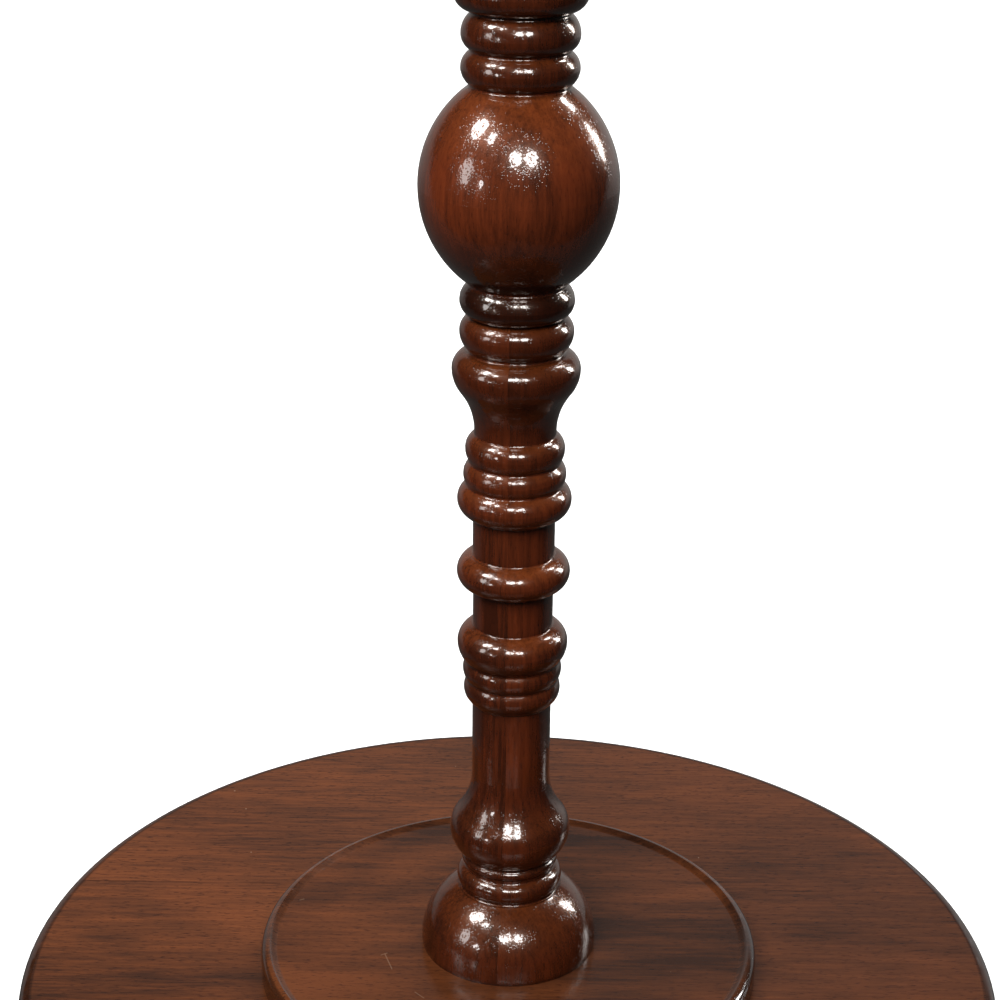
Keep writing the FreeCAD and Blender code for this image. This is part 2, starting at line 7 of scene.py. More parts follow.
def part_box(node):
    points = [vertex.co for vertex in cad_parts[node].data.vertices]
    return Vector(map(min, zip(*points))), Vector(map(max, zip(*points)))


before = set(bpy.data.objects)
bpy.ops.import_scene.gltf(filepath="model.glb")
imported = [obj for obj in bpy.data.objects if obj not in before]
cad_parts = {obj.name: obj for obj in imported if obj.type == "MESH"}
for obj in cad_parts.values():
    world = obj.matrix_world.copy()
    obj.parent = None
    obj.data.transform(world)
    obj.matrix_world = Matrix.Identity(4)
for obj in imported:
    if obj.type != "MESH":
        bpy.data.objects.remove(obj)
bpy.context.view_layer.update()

MM = 0.001

# Camera, fitted to the rims of the base and plinth and to the beads of the spindle
IMAGE_WIDTH_PX = 1000.0
FOCAL_PX = 2236.4
SENSOR_MM = 36.0
CAMERA_PLACE = Vector((0.0, -0.8726, 0.5991))
CAMERA_PITCH = math.radians(22.052)
CAMERA_YAW = math.radians(-0.397)
CAMERA_ROLL = math.radians(0.651)


def make_camera():
    """Camera at the photograph's place and angle, without shift."""
    forward = Vector((math.sin(CAMERA_YAW) * math.cos(CAMERA_PITCH),
                      math.cos(CAMERA_YAW) * math.cos(CAMERA_PITCH),
                      -math.sin(CAMERA_PITCH)))
    level_right = Vector((math.cos(CAMERA_YAW), -math.sin(CAMERA_YAW), 0.0))
    level_up = level_right.cross(forward)
    right = level_right * math.cos(CAMERA_ROLL) + level_up * math.sin(CAMERA_ROLL)
    up = level_up * math.cos(CAMERA_ROLL) - level_right * math.sin(CAMERA_ROLL)
    data = bpy.data.cameras.new("camera")
    data.sensor_width = SENSOR_MM
    data.lens = SENSOR_MM * FOCAL_PX / IMAGE_WIDTH_PX
    camera = bpy.data.objects.new("camera", data)
    turn = Matrix((right, up, -forward)).transposed().to_4x4()
    camera.matrix_world = Matrix.Translation(CAMERA_PLACE) @ turn
    bpy.context.scene.collection.objects.link(camera)
    bpy.context.scene.camera = camera


# Sockets of a mix node that mixes colours
MIX_FIRST_SOCKET = 6
MIX_SECOND_SOCKET = 7
MIX_RESULT_SOCKET = 2


class Shader:
    """A material's nodes: adds a node with its settings and its inputs, and links sockets."""

    def __init__(self, name):
        self.material = bpy.data.materials.new(name)
        self.material.use_nodes = True
        self.tree = self.material.node_tree
        self.tree.nodes.clear()

    def add(self, kind, inputs=None, **settings):
        node = self.tree.nodes.new(kind)
        for name, value in settings.items():
            setattr(node, name, value)
        for name, value in (inputs or {}).items():
            self.put(node.inputs[name], value)
        return node

    def put(self, socket, value):
        if isinstance(value, bpy.types.NodeSocket):
            self.tree.links.new(value, socket)
        else:
            socket.default_value = value

    def place(self, stretch=(1.0, 1.0, 1.0), shift=(0.0, 0.0, 0.0)):
        """The point in the part's own frame, in metres, stretched and shifted."""
        point = self.add("ShaderNodeTexCoord").outputs["Object"]
        mapping = self.add("ShaderNodeMapping", {"Vector": point, "Location": shift, "Scale": stretch})
        return mapping.outputs["Vector"]

    def along(self, vector, axis):
        """One coordinate of a vector."""
        return self.add("ShaderNodeSeparateXYZ", {0: vector}).outputs[axis]

    def vector(self, operation, first, second):
        """A node that works on two vectors."""
        return self.add("ShaderNodeVectorMath", {0: first, 1: second}, operation=operation)

    def dot(self, first, second):
        return self.vector("DOT_PRODUCT", first, second).outputs["Value"]

    def noise(self, point, scale=1.0, octaves=2.0, next_share=0.5, bend=0.0):
        """Noise of some octaves, each weaker than the last by a share."""
        node = self.add("ShaderNodeTexNoise", {"Vector": point, "Scale": scale, "Detail": octaves,
                                               "Roughness": next_share, "Distortion": bend})
        return node.outputs["Fac"]

    def cells(self, point, scale):
        """Distance to the middle of the nearest cell, as a share of a cell."""
        node = self.add("ShaderNodeTexVoronoi", {"Vector": point, "Scale": scale})
        return node.outputs["Distance"]

    def between(self, value, low, high, to_low=0.0, to_high=1.0, smooth=False):
        """Value moved from the range low to high into the range to_low to to_high, and held there."""
        node = self.add("ShaderNodeMapRange", {"Value": value, "From Min": low, "From Max": high,
                                               "To Min": to_low, "To Max": to_high})
        node.interpolation_type = "SMOOTHSTEP" if smooth else "LINEAR"
        return node.outputs["Result"]

    def math(self, operation, first, second=0.0):
        node = self.add("ShaderNodeMath", {0: first, 1: second}, operation=operation)
        return node.outputs["Value"]

    def mix(self, share, first, second):
        """A share of the second colour in the first."""
        node = self.add("ShaderNodeMix", {"Factor": share, MIX_FIRST_SOCKET: first,
                                          MIX_SECOND_SOCKET: second}, data_type="RGBA")
        return node.outputs[MIX_RESULT_SOCKET]

    def bump(self, height, distance, strength=1.0, normal=None):
        node = self.add("ShaderNodeBump", {"Height": height, "Distance": distance, "Strength": strength})
        if normal is not None:
            self.put(node.inputs["Normal"], normal)
        return node.outputs["Normal"]

    def finish(self, **inputs):
        """Ends the material in one principled surface and returns it."""
        surface = self.add("ShaderNodeBsdfPrincipled")
        for name, value in inputs.items():
            self.put(surface.inputs[name.replace("_", " ")], value)
        output = self.add("ShaderNodeOutputMaterial")
        self.tree.links.new(surface.outputs["BSDF"], output.inputs["Surface"])
        return self.material


def colour(red, green, blue, tone_share=1.0):
    return (red * tone_share, green * tone_share, blue * tone_share, 1.0)


# Colours of the mahogany, as shares of the light that falls on it
BOARD_LIGHT_SHARES = (0.216, 0.062, 0.019)
BOARD_DARK_SHARES = (0.050, 0.018, 0.009)
SPINDLE_LIGHT_SHARES = (0.154, 0.036, 0.012)
SPINDLE_DARK_SHARES = (0.034, 0.009, 0.004)
# Painted light on the spindle's upper sides
PAINTED_LIGHT_SHARES = (0.225, 0.072, 0.020)
LACQUER_TINT_SHARES = (0.75, 0.60, 0.50)
# Pores, and also the painted shade towards the front right of the boards
PORE_AND_SHADE_SHARES = (0.014, 0.006, 0.004)
# Stain, and also painted shade in the spindle's hollows and undersides and on the plinth lip's inner slope
STAIN_AND_SHADE_SHARES = (0.006, 0.002, 0.001)
SCRATCH_SHARES = (0.42, 0.26, 0.16)

# Tone of each board and of each piece of the spindle
BOARD_TONE_SHARES = {
    "base_board_1": 0.93, "base_board_2": 0.93, "base_board_3": 0.95,
    "plinth": 0.78,
    "top_cleat": 0.95,
    "top_board_1": 1.0, "top_board_2": 1.08, "top_board_3": 0.95, "top_board_4": 1.03, "top_board_5": 0.97,
}
SPINDLE_TONE_SHARES = {
    "lower_spindle_left_half": 1.52, "lower_spindle_right_half": 1.24, "upper_spindle": 1.60,
}

# Noise lies mostly between these values, and has these octaves where it is fine
NOISE_SHARES = (0.3, 0.7)
FINE_OCTAVES = 3.0
FINE_NEXT_SHARE = 0.6

# Layers of the wood's figure, from broad clouds to fine streaks, and its pores:
# cycles in a metre lengthwise and across, octaves, share of each next octave, and bend
CLOUD_LAYER = ((7.0, 16.0), 2.0, 0.5, 0.5)
FIGURE_LAYER = ((5.0, 45.0), 3.0, 0.55, 0.8)
RIBBON_LAYER = ((16.0, 190.0), 3.0, 0.55, 0.3)
STREAK_LAYER = ((40.0, 620.0), FINE_OCTAVES, FINE_NEXT_SHARE, 0.0)
PORE_LAYER = ((240.0, 1500.0), 2.0, 0.5, 0.0)
PORE_CUT_SHARES = (0.58, 0.68)

# How strongly clouds, figure, ribbons and streaks show
BOARD_FIGURE_SHARES = {
    "base": (0.54, 0.24, 0.22, 0.48),
    "plinth": (0.90, 0.62, 0.26, 0.46),
    "top": (0.54, 0.24, 0.22, 0.48),
}
SPINDLE_FIGURE_SHARES = (0.75, 0.44, 0.24, 0.50)
MEAN_FIGURE_SHARE = 0.48

# Each next piece is cut from another place in the wood, this far on, in metres
BOARD_GRAIN_STEP = (0.37, 0.53, 0.29)
SPINDLE_GRAIN_STEP = (0.41, 0.31, 0.47)
CLEAT_GRAIN_SHIFT = (1.5, 2.1, 1.2)


def grain_shift(step, number):
    return tuple(length * number for length in step)


def grain_layer(shader, axis, shift, layer):
    """One layer of the figure, stretched along an axis."""
    (lengthwise, across), octaves, next_share, bend = layer
    stretch = tuple(lengthwise if name == axis else across for name in "XYZ")
    return shader.noise(shader.place(stretch, shift), 1.0, octaves, next_share, bend)


def grain(shader, axis, shift, figure_shares):
    """Light-to-dark share, pores and fine streaks of wood whose grain runs along an axis."""
    cloud = grain_layer(shader, axis, shift, CLOUD_LAYER)
    figure = grain_layer(shader, axis, shift, FIGURE_LAYER)
    ribbon = grain_layer(shader, axis, shift, RIBBON_LAYER)
    streak = grain_layer(shader, axis, shift, STREAK_LAYER)
    pore = grain_layer(shader, axis, shift, PORE_LAYER)
    share = MEAN_FIGURE_SHARE
    for layer, strength in zip((cloud, figure, ribbon, streak), figure_shares):
        part = shader.between(layer, *NOISE_SHARES, -strength / 2, strength / 2)
        share = shader.math("ADD", share, part)
    return shader.between(share, 0.0, 1.0), shader.between(pore, *PORE_CUT_SHARES), streak


# Stretch that leaves the height of a point out
FLAT = (1.0, 1.0, 0.0)

# Painted shade towards the front right, away from the lamps on the left: from one place along that way to
# another, in metres, and the share of painted shade at each
PAINTED_SHADE_WAY = (0.75, -0.66, 0.0)
PAINTED_SHADES = {
    "base": (-0.16, 0.16, 0.0, 0.46),
    "plinth": (-0.10, 0.06, 0.12, 0.32),
    "top": (-0.20, 0.20, 0.0, 0.46),
}

# Darker rims, with painted shade on the plinth lip's inner slope: zones from the inside outward, each with
# its inset from the rim and its share of dark
RIM_ZONES = {
    "base": ((6.5 * MM, 0.60), (2.5 * MM, 0.72)),
    "plinth": ((7.0 * MM, 0.26), (4.6 * MM, 0.0), (2.6 * MM, 0.60)),
    "top": ((10.0 * MM, 0.40), (4.0 * MM, 0.55)),
}
RIM_BLUR = 1.2 * MM

# Polish: the rims are smoother and gleam more than the rest of the boards
POLISH_WIDTH = 5.2 * MM
POLISHED_ROUGH_SHARE = 0.4
POLISHED_GLEAM_SHARE = 0.9
BOARD_GLEAM_SHARE = 0.20
BOARD_ROUGH_SHARES = (0.17, 0.26)

# Glue joints between boards: uneven dark lines, worn away in places, with cycles in a metre
JOINT_WIDTH = 0.8 * MM
JOINT_CORE_SHARE = 0.2
JOINT_STAIN_SHARE = 0.7
JOINT_WANDER_STRETCH = (25.0, 0.0, 0.0)
JOINT_WEAR_STRETCH = (40.0, 3.0, 0.0)
JOINT_WEAR_CUT_SHARES = (0.40, 0.60)

# Pale specks all over the boards, and their size as shares of the cells that hold them
SPECK_CYCLES = 30.0
SPECK_SIZE_SHARES = (0.010, 0.016)
SPECK_STRENGTH_SHARE = 0.55

# Scratches on the plinth, from point to point in millimetres
PLINTH_SCRATCHES = (
    ((-55.5, -15.1), (-51.7, -26.8)),
    ((-57.2, -15.9), (-54.6, -14.2)),
    ((-98.0, 28.8), (-96.2, 29.7)),
    ((-40.6, -44.3), (-36.5, -48.7)),
)
SCRATCH_WIDTH = 0.36 * MM
SCRATCH_CORE_SHARE = 0.3
SCRATCH_STRENGTH_SHARE = 0.24

# Pores and raised streaks under the satin finish
BOARD_PORE_SHARE = 0.65
BOARD_STREAK_HEIGHT_SHARE = 0.3
BOARD_RELIEF = 0.02 * MM
BOARD_RELIEF_SHARE = 0.7


def from_axis(shader):
    """Distance of the point from the table's axis."""
    length = shader.add("ShaderNodeVectorMath", {0: shader.place(FLAT)}, operation="LENGTH")
    return length.outputs["Value"]


def rim_stain(shader, radius, zones):
    """Darker wood around a rim, zone by zone."""
    reach = from_axis(shader)
    stain = 0.0
    before = 0.0
    for inset, strength in zones:
        start = radius - inset
        step = shader.between(reach, start, start + RIM_BLUR, 0.0, strength - before, smooth=True)
        stain = shader.math("ADD", stain, step)
        before = strength
    return stain


def joint_lines(shader, offsets):
    """Uneven lines along X, at distances from the table's axis."""
    bends = shader.noise(shader.place(JOINT_WANDER_STRETCH), 1.0, FINE_OCTAVES, FINE_NEXT_SHARE)
    wander = shader.between(bends, 0.0, 1.0, -JOINT_WIDTH, JOINT_WIDTH)
    wear = shader.between(shader.noise(shader.place(JOINT_WEAR_STRETCH)), *JOINT_WEAR_CUT_SHARES)
    across = shader.math("ADD", shader.along(shader.place(), "Y"), wander)
    lines = 0.0
    for offset in offsets:
        gap = shader.math("ABSOLUTE", shader.math("SUBTRACT", across, offset))
        line = shader.between(gap, JOINT_CORE_SHARE * JOINT_WIDTH, JOINT_WIDTH, 1.0, 0.0)
        lines = shader.math("MAXIMUM", lines, line)
    return shader.math("MULTIPLY", lines, wear)


def scratch_lines(shader, scratches):
    """Thin lines on a flat top, each between two points in millimetres."""
    point = shader.place(FLAT)
    lines = 0.0
    for start, end in scratches:
        start = Vector((*start, 0.0)) * MM
        span = Vector((*end, 0.0)) * MM - start
        off = shader.vector("SUBTRACT", point, start).outputs["Vector"]
        share = shader.between(shader.dot(off, span / span.length_squared), 0.0, 1.0)
        near = shader.add("ShaderNodeVectorMath", {0: span, "Scale": share}, operation="SCALE")
        gap = shader.vector("DISTANCE", off, near.outputs["Vector"]).outputs["Value"]
        line = shader.between(gap, SCRATCH_CORE_SHARE * SCRATCH_WIDTH, SCRATCH_WIDTH, 1.0, 0.0)
        lines = shader.math("MAXIMUM", lines, line)
    return lines


def board_wood(node, disc, shift, radius=None, joints=(), scratches=()):
    """Satin mahogany with its grain along X, specked and scratched, with painted shade towards the front
    right. A disc's boards are darker and polished around their rim, with painted shade on the plinth lip's
    inner slope, and dark at their joints."""
    shader = Shader(node + "_wood")
    tone_share = BOARD_TONE_SHARES[node]
    share, pores, streak = grain(shader, "X", shift, BOARD_FIGURE_SHARES[disc])
    wood = shader.mix(share, colour(*BOARD_DARK_SHARES, tone_share), colour(*BOARD_LIGHT_SHARES, tone_share))
    wood = shader.mix(shader.math("MULTIPLY", pores, BOARD_PORE_SHARE), wood, colour(*PORE_AND_SHADE_SHARES))
    # Painted shade: the boards darker towards the front right
    painted_shade = shader.between(shader.dot(shader.place(), PAINTED_SHADE_WAY), *PAINTED_SHADES[disc])
    wood = shader.mix(painted_shade, wood, colour(*PORE_AND_SHADE_SHARES))
    if radius:
        # Darker rims; on the plinth, the band on the lip's inner slope is painted shade
        wood = shader.mix(rim_stain(shader, radius, RIM_ZONES[disc]), wood, colour(*STAIN_AND_SHADE_SHARES))
    if joints:
        stain = shader.math("MULTIPLY", joint_lines(shader, joints), JOINT_STAIN_SHARE)
        wood = shader.mix(stain, wood, colour(*STAIN_AND_SHADE_SHARES))
    specks = shader.cells(shader.place(FLAT, shift), SPECK_CYCLES)
    wear_and_painted_light = shader.between(specks, *SPECK_SIZE_SHARES, SPECK_STRENGTH_SHARE, 0.0)
    if scratches:
        pale = shader.math("MULTIPLY", scratch_lines(shader, scratches), SCRATCH_STRENGTH_SHARE)
        wear_and_painted_light = shader.math("MAXIMUM", wear_and_painted_light, pale)
    wood = shader.mix(wear_and_painted_light, wood, colour(*SCRATCH_SHARES))
    rough = shader.between(streak, *NOISE_SHARES, *BOARD_ROUGH_SHARES)
    gleam = BOARD_GLEAM_SHARE
    if radius:
        polish_start = radius - POLISH_WIDTH
        polish = shader.between(from_axis(shader), polish_start, polish_start + RIM_BLUR)
        rough = shader.math("MULTIPLY", rough, shader.between(polish, 0.0, 1.0, 1.0, POLISHED_ROUGH_SHARE))
        gleam = shader.between(polish, 0.0, 1.0, BOARD_GLEAM_SHARE, POLISHED_GLEAM_SHARE)
    height = shader.math("SUBTRACT", shader.math("MULTIPLY", streak, BOARD_STREAK_HEIGHT_SHARE), pores)
    return shader.finish(Base_Color=wood, Roughness=rough, Specular_IOR_Level=gleam,
                         Normal=shader.bump(height, BOARD_RELIEF, BOARD_RELIEF_SHARE))


# Painted light on sides of the spindle that face up, and painted shade on sides that face down: from one tilt
# to another, with -1 for straight down and 1 for straight up, and the share of each
PAINTED_LIGHT_TILT_SHARES = (0.25, 0.90)
PAINTED_LIGHT_STRENGTH_SHARE = 0.65
PAINTED_LIGHT_DARK_FIGURE_SHARE = 0.25
UNDERSIDE_TILT_SHARES = (-0.75, -0.05)
UNDERSIDE_SHADE_SHARE = 0.85

# Painted shade in the hollows between beads, darker where less of the room is open to them
HOLLOW_REACH = 5.0 * MM
HOLLOW_SAMPLES = 8
HOLLOW_OPEN_SHARES = (0.35, 0.92)
HOLLOW_SHADE_SHARE = 0.92

# Stained stretches of the spindle: from one level to another, and the share of stain at each
LOWER_STAIN_BANDS = (
    (100.0 * MM, 130.0 * MM, 0.38, 0.0),
    (240.0 * MM, 290.0 * MM, 0.0, 0.52),
)
UPPER_STAIN_BANDS = (
    (339.8 * MM, 341.8 * MM, 0.84, 0.0),
    (419.0 * MM, 423.0 * MM, 0.0, 0.45),
)

# Glue seam between the halves of the lower section
SEAM_ANGLE = math.radians(83.0)
SEAM_WIDTH = 0.3 * MM
SEAM_CORE_SHARE = 0.4
SEAM_STAIN_SHARE = 0.16

# Lacquer of the spindle, with patches of dust nibs and slow waves in it
NIB_CYCLES = 1000.0
NIB_SIZE_SHARE = 0.46
NIB_HEIGHT = 0.068 * MM
NIB_PATCH_CYCLES = 260.0
NIB_PATCH_CUT_SHARES = (0.40, 0.54)
WAVE_CYCLES = 480.0
WAVE_OCTAVES = 1.0
WAVE_HEIGHT = 0.060 * MM
SPINDLE_PORE_SHARE = 0.34
SPINDLE_ROUGH_SHARE = 0.25
SPINDLE_GLEAM_SHARE = 0.35
LACQUER_ROUGH_SHARE = 0.04
LACQUER_IOR = 1.5


def spindle_stain(shader, upward, stain_bands):
    """Painted shade in hollows and on undersides, and dark stain along some stretches of the spindle."""
    # Painted shade in the hollows, from how much of the room each point is open to
    hollow = shader.add("ShaderNodeAmbientOcclusion", {"Distance": HOLLOW_REACH}, samples=HOLLOW_SAMPLES)
    in_hollows = shader.between(hollow.outputs["AO"], *HOLLOW_OPEN_SHARES, HOLLOW_SHADE_SHARE, 0.0)
    # Painted shade on sides that face down
    below = shader.between(upward, *UNDERSIDE_TILT_SHARES, UNDERSIDE_SHADE_SHARE, 0.0)
    stain = shader.math("MAXIMUM", in_hollows, below)
    level = shader.along(shader.place(), "Z")
    for band in stain_bands:
        stain = shader.math("MAXIMUM", stain, shader.between(level, *band))
    return stain


def seam_line(shader):
    """Faint line where the halves of the lower section meet."""
    across = (math.sin(SEAM_ANGLE), -math.cos(SEAM_ANGLE), 0.0)
    gap = shader.math("ABSOLUTE", shader.dot(shader.place(), across))
    return shader.between(gap, SEAM_CORE_SHARE * SEAM_WIDTH, SEAM_WIDTH, SEAM_STAIN_SHARE, 0.0)


def lacquer_relief(shader, shift):
    """Waves in the lacquer, with dust nibs on them."""
    point = shader.place(shift=shift)
    nibs = shader.between(shader.cells(point, NIB_CYCLES), 0.0, NIB_SIZE_SHARE, 1.0, 0.0, smooth=True)
    patches = shader.between(shader.noise(point, NIB_PATCH_CYCLES), *NIB_PATCH_CUT_SHARES)
    waves = shader.noise(point, WAVE_CYCLES, WAVE_OCTAVES)
    return shader.bump(shader.math("MULTIPLY", nibs, patches), NIB_HEIGHT,
                       normal=shader.bump(waves, WAVE_HEIGHT))


def spindle_wood(node, shift, stain_bands, seam):
    """Turned mahogany with its grain along Z under gloss lacquer, with painted shade in hollows and on
    undersides and painted light on upper sides.
    """
    shader = Shader(node + "_wood")
    tone_share = SPINDLE_TONE_SHARES[node]
    share, pores, _ = grain(shader, "Z", shift, SPINDLE_FIGURE_SHARES)
    dark = colour(*SPINDLE_DARK_SHARES, tone_share)
    wood = shader.mix(share, dark, colour(*SPINDLE_LIGHT_SHARES, tone_share))
    upward = shader.along(shader.add("ShaderNodeNewGeometry").outputs["Normal"], "Z")
    # Painted light: sides that face up are painted lighter, as if lit from above
    wear_and_painted_light = shader.math("MULTIPLY", shader.between(upward, *PAINTED_LIGHT_TILT_SHARES, 0.0, PAINTED_LIGHT_STRENGTH_SHARE),
                       shader.between(share, 0.0, 1.0, PAINTED_LIGHT_DARK_FIGURE_SHARE, 1.0))
    wood = shader.mix(wear_and_painted_light, wood, colour(*PAINTED_LIGHT_SHARES, tone_share))
    wood = shader.mix(shader.math("MULTIPLY", pores, SPINDLE_PORE_SHARE), wood, colour(*PORE_AND_SHADE_SHARES))
    # Painted shade in hollows and on undersides, and stain along some stretches
    wood = shader.mix(spindle_stain(shader, upward, stain_bands), wood, colour(*STAIN_AND_SHADE_SHARES))
    if seam:
        wood = shader.mix(seam_line(shader), wood, colour(*STAIN_AND_SHADE_SHARES))
    return shader.finish(Base_Color=wood, Roughness=SPINDLE_ROUGH_SHARE,
                         Specular_IOR_Level=SPINDLE_GLEAM_SHARE, Coat_Weight=1.0,
                         Coat_Roughness=LACQUER_ROUGH_SHARE, Coat_IOR=LACQUER_IOR,
                         Coat_Tint=colour(*LACQUER_TINT_SHARES), Coat_Normal=lacquer_relief(shader, shift))


# Bare wood of the wedges, with cycles in a metre
WEDGE_LIGHT_SHARES = (0.50, 0.32, 0.17)
WEDGE_DARK_SHARES = (0.36, 0.21, 0.11)
WEDGE_STRETCH = (300.0, 300.0, 20.0)
WEDGE_ROUGH_SHARE = 0.6
WEDGE_RELIEF = 0.05 * MM

# Zinc plating of the screws and nails
ZINC_LIGHT_SHARES = (0.62, 0.61, 0.58)
ZINC_DULL_SHARES = (0.38, 0.37, 0.35)
ZINC_TURNING_STRETCH = (400.0, 400.0, 4000.0)
ZINC_SPOT_CYCLES = 250.0
ZINC_SPOT_CUT_SHARES = (0.45, 0.7)
ZINC_ROUGH_SHARES = (0.25, 0.45)
ZINC_RELIEF = 0.01 * MM

# Nylon of the glides
NYLON_DARK_SHARES = (0.030, 0.024, 0.020)
NYLON_SCUFFED_SHARES = (0.075, 0.064, 0.056)
NYLON_SCUFF_STRETCH = (60.0, 900.0, 900.0)
NYLON_SCUFF_CUT_SHARES = (0.5, 0.75)
NYLON_TEXTURE_CYCLES = 2500.0
NYLON_ROUGH_SHARES = (0.42, 0.6)
NYLON_RELIEF = 0.02 * MM

SMALL_RELIEF_SHARE = 0.5


def raw_wood(name):
    """Bare pale wood of the wedges."""
    shader = Shader(name)
    streak = shader.noise(shader.place(WEDGE_STRETCH), 1.0, FINE_OCTAVES, FINE_NEXT_SHARE)
    share = shader.between(streak, *NOISE_SHARES)
    wood = shader.mix(share, colour(*WEDGE_DARK_SHARES), colour(*WEDGE_LIGHT_SHARES))
    return shader.finish(Base_Color=wood, Roughness=WEDGE_ROUGH_SHARE,
                         Normal=shader.bump(streak, WEDGE_RELIEF, SMALL_RELIEF_SHARE))


def zinc_steel(name):
    """Zinc-plated screws and nails, with fine turning marks and dull spots."""
    shader = Shader(name)
    marks = shader.noise(shader.place(ZINC_TURNING_STRETCH))
    spots = shader.noise(shader.place(), ZINC_SPOT_CYCLES, FINE_OCTAVES, FINE_NEXT_SHARE)
    dull = shader.between(spots, *ZINC_SPOT_CUT_SHARES)
    metal = shader.mix(dull, colour(*ZINC_LIGHT_SHARES), colour(*ZINC_DULL_SHARES))
    return shader.finish(Base_Color=metal, Metallic=1.0,
                         Roughness=shader.between(spots, *NOISE_SHARES, *ZINC_ROUGH_SHARES),
                         Normal=shader.bump(marks, ZINC_RELIEF, SMALL_RELIEF_SHARE))


def nylon(name):
    """Dark moulded nylon of the glides, scuffed in streaks."""
    shader = Shader(name)
    scuff = shader.noise(shader.place(NYLON_SCUFF_STRETCH), 1.0, FINE_OCTAVES, FINE_NEXT_SHARE)
    texture = shader.noise(shader.place(), NYLON_TEXTURE_CYCLES)
    scuffed = shader.between(scuff, *NYLON_SCUFF_CUT_SHARES)
    plastic = shader.mix(scuffed, colour(*NYLON_DARK_SHARES), colour(*NYLON_SCUFFED_SHARES))
    return shader.finish(Base_Color=plastic,
                         Roughness=shader.between(scuff, *NOISE_SHARES, *NYLON_ROUGH_SHARES),
                         Normal=shader.bump(texture, NYLON_RELIEF, SMALL_RELIEF_SHARE))


def dress(node, material):
    """Puts a material in the slots of a node of the frame."""
    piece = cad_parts[node]
    if not piece.data.materials:
        piece.data.materials.append(material)
    for slot in piece.material_slots:
        slot.material = material


def dress_disc(disc, first_word, scratches=()):
    """Dresses the boards of one disc, with its rim and its joints where the boards end."""
    numbers = {node: number for number, node in enumerate(BOARD_TONE_SHARES) if node.startswith(first_word)}
    corners = [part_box(node)[1] for node in numbers]
    radius = max(corner.x for corner in corners)
    joints = sorted(corner.y for corner in corners)[:-1]
    for node, number in numbers.items():
        shift = grain_shift(BOARD_GRAIN_STEP, number)
        dress(node, board_wood(node, disc, shift, radius, joints, scratches))


def dress_all():
    dress_disc("base", "base_board")
    dress_disc("plinth", "plinth", PLINTH_SCRATCHES)
    dress_disc("top", "top_board")
    dress("top_cleat", board_wood("top_cleat", "plinth", CLEAT_GRAIN_SHIFT))
    for number, node in enumerate(SPINDLE_TONE_SHARES):
        lower = node.startswith("lower")
        stain_bands = LOWER_STAIN_BANDS if lower else UPPER_STAIN_BANDS
        dress(node, spindle_wood(node, grain_shift(SPINDLE_GRAIN_STEP, number), stain_bands, seam=lower))
    wedge = raw_wood("wedge_wood")
    for node in ("lower_wedge", "upper_wedge"):
        dress(node, wedge)
    steel = zinc_steel("screw_steel")
    for node in ("plinth_screws", "cleat_screws", "glide_nails"):
        dress(node, steel)
    dress("floor_glides", nylon("glide_nylon"))


# Floor, in metres
FLOOR_RADIUS = 8.0
FLOOR_SIDES = 96
FLOOR_CLOUD_CYCLES = 3.0
FLOOR_DARK_SHARES = (0.90, 0.90, 0.90)
FLOOR_LIGHT_SHARES = (0.93, 0.93, 0.93)
FLOOR_ROUGH_SHARE = 0.8
FLOOR_GLEAM_SHARE = 0.2


def floor_paint():
    shader = Shader("floor_paint")
    cloud = shader.noise(shader.place(), FLOOR_CLOUD_CYCLES)
    paint = shader.mix(cloud, colour(*FLOOR_DARK_SHARES), colour(*FLOOR_LIGHT_SHARES))
    return shader.finish(Base_Color=paint, Roughness=FLOOR_ROUGH_SHARE, Specular_IOR_Level=FLOOR_GLEAM_SHARE)


def make_floor():
    """Plain pale floor that casts no light back on the table."""
    angles = [2 * math.pi * side / FLOOR_SIDES for side in range(FLOOR_SIDES)]
    rim = [(FLOOR_RADIUS * math.cos(angle), FLOOR_RADIUS * math.sin(angle), 0.0) for angle in angles]
    mesh = bpy.data.meshes.new("floor")
    mesh.from_pydata(rim, [], [tuple(range(FLOOR_SIDES))])
    floor = bpy.data.objects.new("floor", mesh)
    bpy.context.scene.collection.objects.link(floor)
    floor.data.materials.append(floor_paint())
    floor.visible_glossy = False
    floor.visible_diffuse = False
    return floor


# Lamps: azimuth from the front and elevation in degrees, distance, width and height in metres, power in watts
SHADING_LAMPS = {
    "key_lamp": (-25.0, 44.0, 2.6, 2.4, 1.8, 105.0),
    "back_fill_lamp": (150.0, 42.0, 2.6, 2.0, 1.6, 45.0),
}
GLOSS_LAMPS = {
    "front_left_lamp": (-3.0, 34.0, 3.0, 0.66, 0.84, 33.0),
    "front_right_lamp": (16.0, 33.0, 3.0, 0.66, 0.84, 33.0),
    "left_high_lamp": (-74.0, 49.0, 2.6, 0.74, 0.96, 44.0),
    "left_high_small_lamp": (-46.0, 48.0, 2.6, 0.42, 0.50, 13.0),
    "left_low_lamp": (-64.0, 15.0, 2.2, 0.50, 0.86, 8.0),
    "left_low_small_lamp": (-44.0, 8.0, 2.2, 0.24, 0.28, 3.0),
    "right_strip_low": (119.0, 18.0, 2.2, 0.38, 0.95, 20.0),
    "right_strip_high": (126.0, 42.0, 2.2, 0.34, 0.46, 10.0),
}
LIGHT_TARGET = Vector((0.0, 0.0, 0.30))


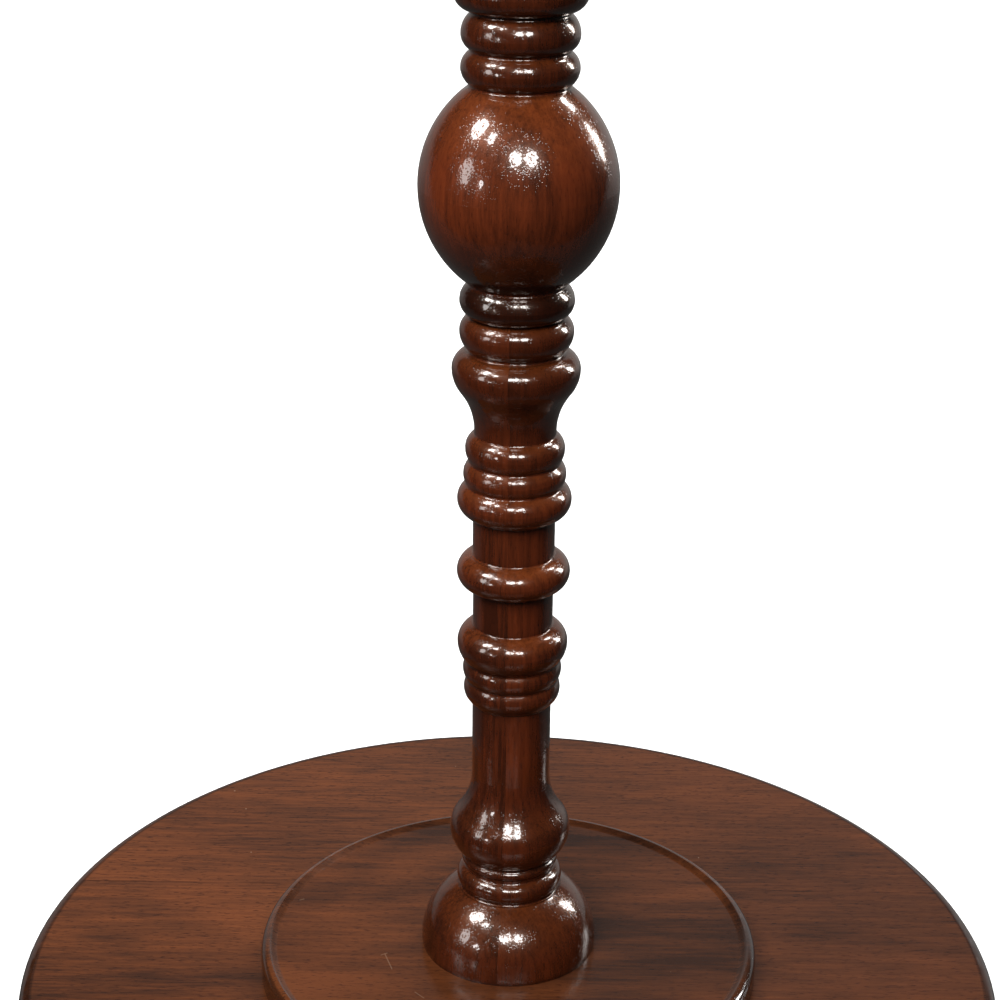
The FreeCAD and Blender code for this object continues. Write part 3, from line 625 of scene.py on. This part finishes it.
def make_lamp(name, azimuth, elevation, distance, width, height, power, glossy):
    """A soft lamp that looks at the spindle, either seen in the gloss or shading the wood."""
    turn = math.radians(azimuth)
    rise = math.radians(elevation)
    outward = Vector((math.sin(turn) * math.cos(rise), -math.cos(turn) * math.cos(rise), math.sin(rise)))
    data = bpy.data.lights.new(name, "AREA")
    data.shape = "ELLIPSE"
    data.size = width
    data.size_y = height
    data.energy = power
    lamp = bpy.data.objects.new(name, data)
    lamp.location = LIGHT_TARGET + outward * distance
    lamp.rotation_euler = outward.to_track_quat("Z", "Y").to_euler()
    lamp.visible_glossy = glossy
    lamp.visible_diffuse = not glossy
    bpy.context.scene.collection.objects.link(lamp)


def make_lamps():
    for name, settings in SHADING_LAMPS.items():
        make_lamp(name, *settings, glossy=False)
    for name, settings in GLOSS_LAMPS.items():
        make_lamp(name, *settings, glossy=True)


FLOOR_LIGHT = 4.2
FLOOR_LIGHT_SPREAD = math.radians(150.0)


def light_floor(floor):
    """Even light that falls on the floor alone."""
    only_floor = bpy.data.collections.new("floor_only")
    only_floor.objects.link(floor)
    data = bpy.data.lights.new("floor_light", "SUN")
    data.energy = FLOOR_LIGHT
    data.angle = FLOOR_LIGHT_SPREAD
    light = bpy.data.objects.new("floor_light", data)
    light.light_linking.receiver_collection = only_floor
    bpy.context.scene.collection.objects.link(light)


# Room: a dim front, and a pale backdrop that is brighter on the right and darker towards the ground
RIGHTWARD = (1.0, 0.0, 0.0)
UPWARD = (0.0, 0.0, 1.0)
ROOM_FRONT_LIGHT = 0.02
ROOM_BACK_LEFT_LIGHT = 0.24
ROOM_BACK_RIGHT_LIGHT = 0.48
ROOM_BACK_SIDES = (-0.9, 0.9)
ROOM_GROUND_LIGHT = 0.07
ROOM_HORIZON = (-0.35, -0.02)
BACKDROP_LEFT_EDGE = (0.42, 0.61, -0.67)
BACKDROP_RIGHT_EDGE = (-0.42, 0.61, -0.67)
BACKDROP_BLUR = (-0.04, 0.08)
ROOM_SEEN_LIGHT = 1.0
ROOM_COLOUR = (1.0, 1.0, 1.0, 1.0)


def make_world():
    """Dim room, a pale backdrop behind with slanting edges, and a pale ground wherever the camera looks."""
    world = bpy.data.worlds.new("room")
    world.use_nodes = True
    nodes = world.node_tree.nodes
    links = world.node_tree.links
    nodes.clear()
    way = nodes.new("ShaderNodeTexCoord").outputs["Generated"]

    def toward(direction, limits, low, high):
        """Goes from low to high as the way turns toward a direction."""
        lean = nodes.new("ShaderNodeVectorMath")
        lean.operation = "DOT_PRODUCT"
        lean.inputs[1].default_value = direction
        links.new(way, lean.inputs[0])
        edge = nodes.new("ShaderNodeMapRange")
        edge.interpolation_type = "SMOOTHSTEP"
        links.new(lean.outputs["Value"], edge.inputs["Value"])
        edge.inputs["From Min"].default_value = limits[0]
        edge.inputs["From Max"].default_value = limits[1]
        for name, value in (("To Min", low), ("To Max", high)):
            if isinstance(value, bpy.types.NodeSocket):
                links.new(value, edge.inputs[name])
            else:
                edge.inputs[name].default_value = value
        return edge.outputs["Result"]

    back = toward(RIGHTWARD, ROOM_BACK_SIDES, ROOM_BACK_LEFT_LIGHT, ROOM_BACK_RIGHT_LIGHT)
    backdrop = toward(UPWARD, ROOM_HORIZON, ROOM_GROUND_LIGHT, back)
    beside = toward(BACKDROP_LEFT_EDGE, BACKDROP_BLUR, ROOM_FRONT_LIGHT, backdrop)
    strength = toward(BACKDROP_RIGHT_EDGE, BACKDROP_BLUR, ROOM_FRONT_LIGHT, beside)
    room = nodes.new("ShaderNodeBackground")
    pale = nodes.new("ShaderNodeBackground")
    for background in (room, pale):
        background.inputs["Color"].default_value = ROOM_COLOUR
    links.new(strength, room.inputs["Strength"])
    pale.inputs["Strength"].default_value = ROOM_SEEN_LIGHT
    path = nodes.new("ShaderNodeLightPath")
    mix = nodes.new("ShaderNodeMixShader")
    output = nodes.new("ShaderNodeOutputWorld")
    links.new(path.outputs["Is Camera Ray"], mix.inputs[0])
    links.new(room.outputs[0], mix.inputs[1])
    links.new(pale.outputs[0], mix.inputs[2])
    links.new(mix.outputs[0], output.inputs["Surface"])
    bpy.context.scene.world = world


make_camera()
dress_all()
light_floor(make_floor())
make_lamps()
make_world()
bpy.context.scene.view_settings.view_transform = "Standard"
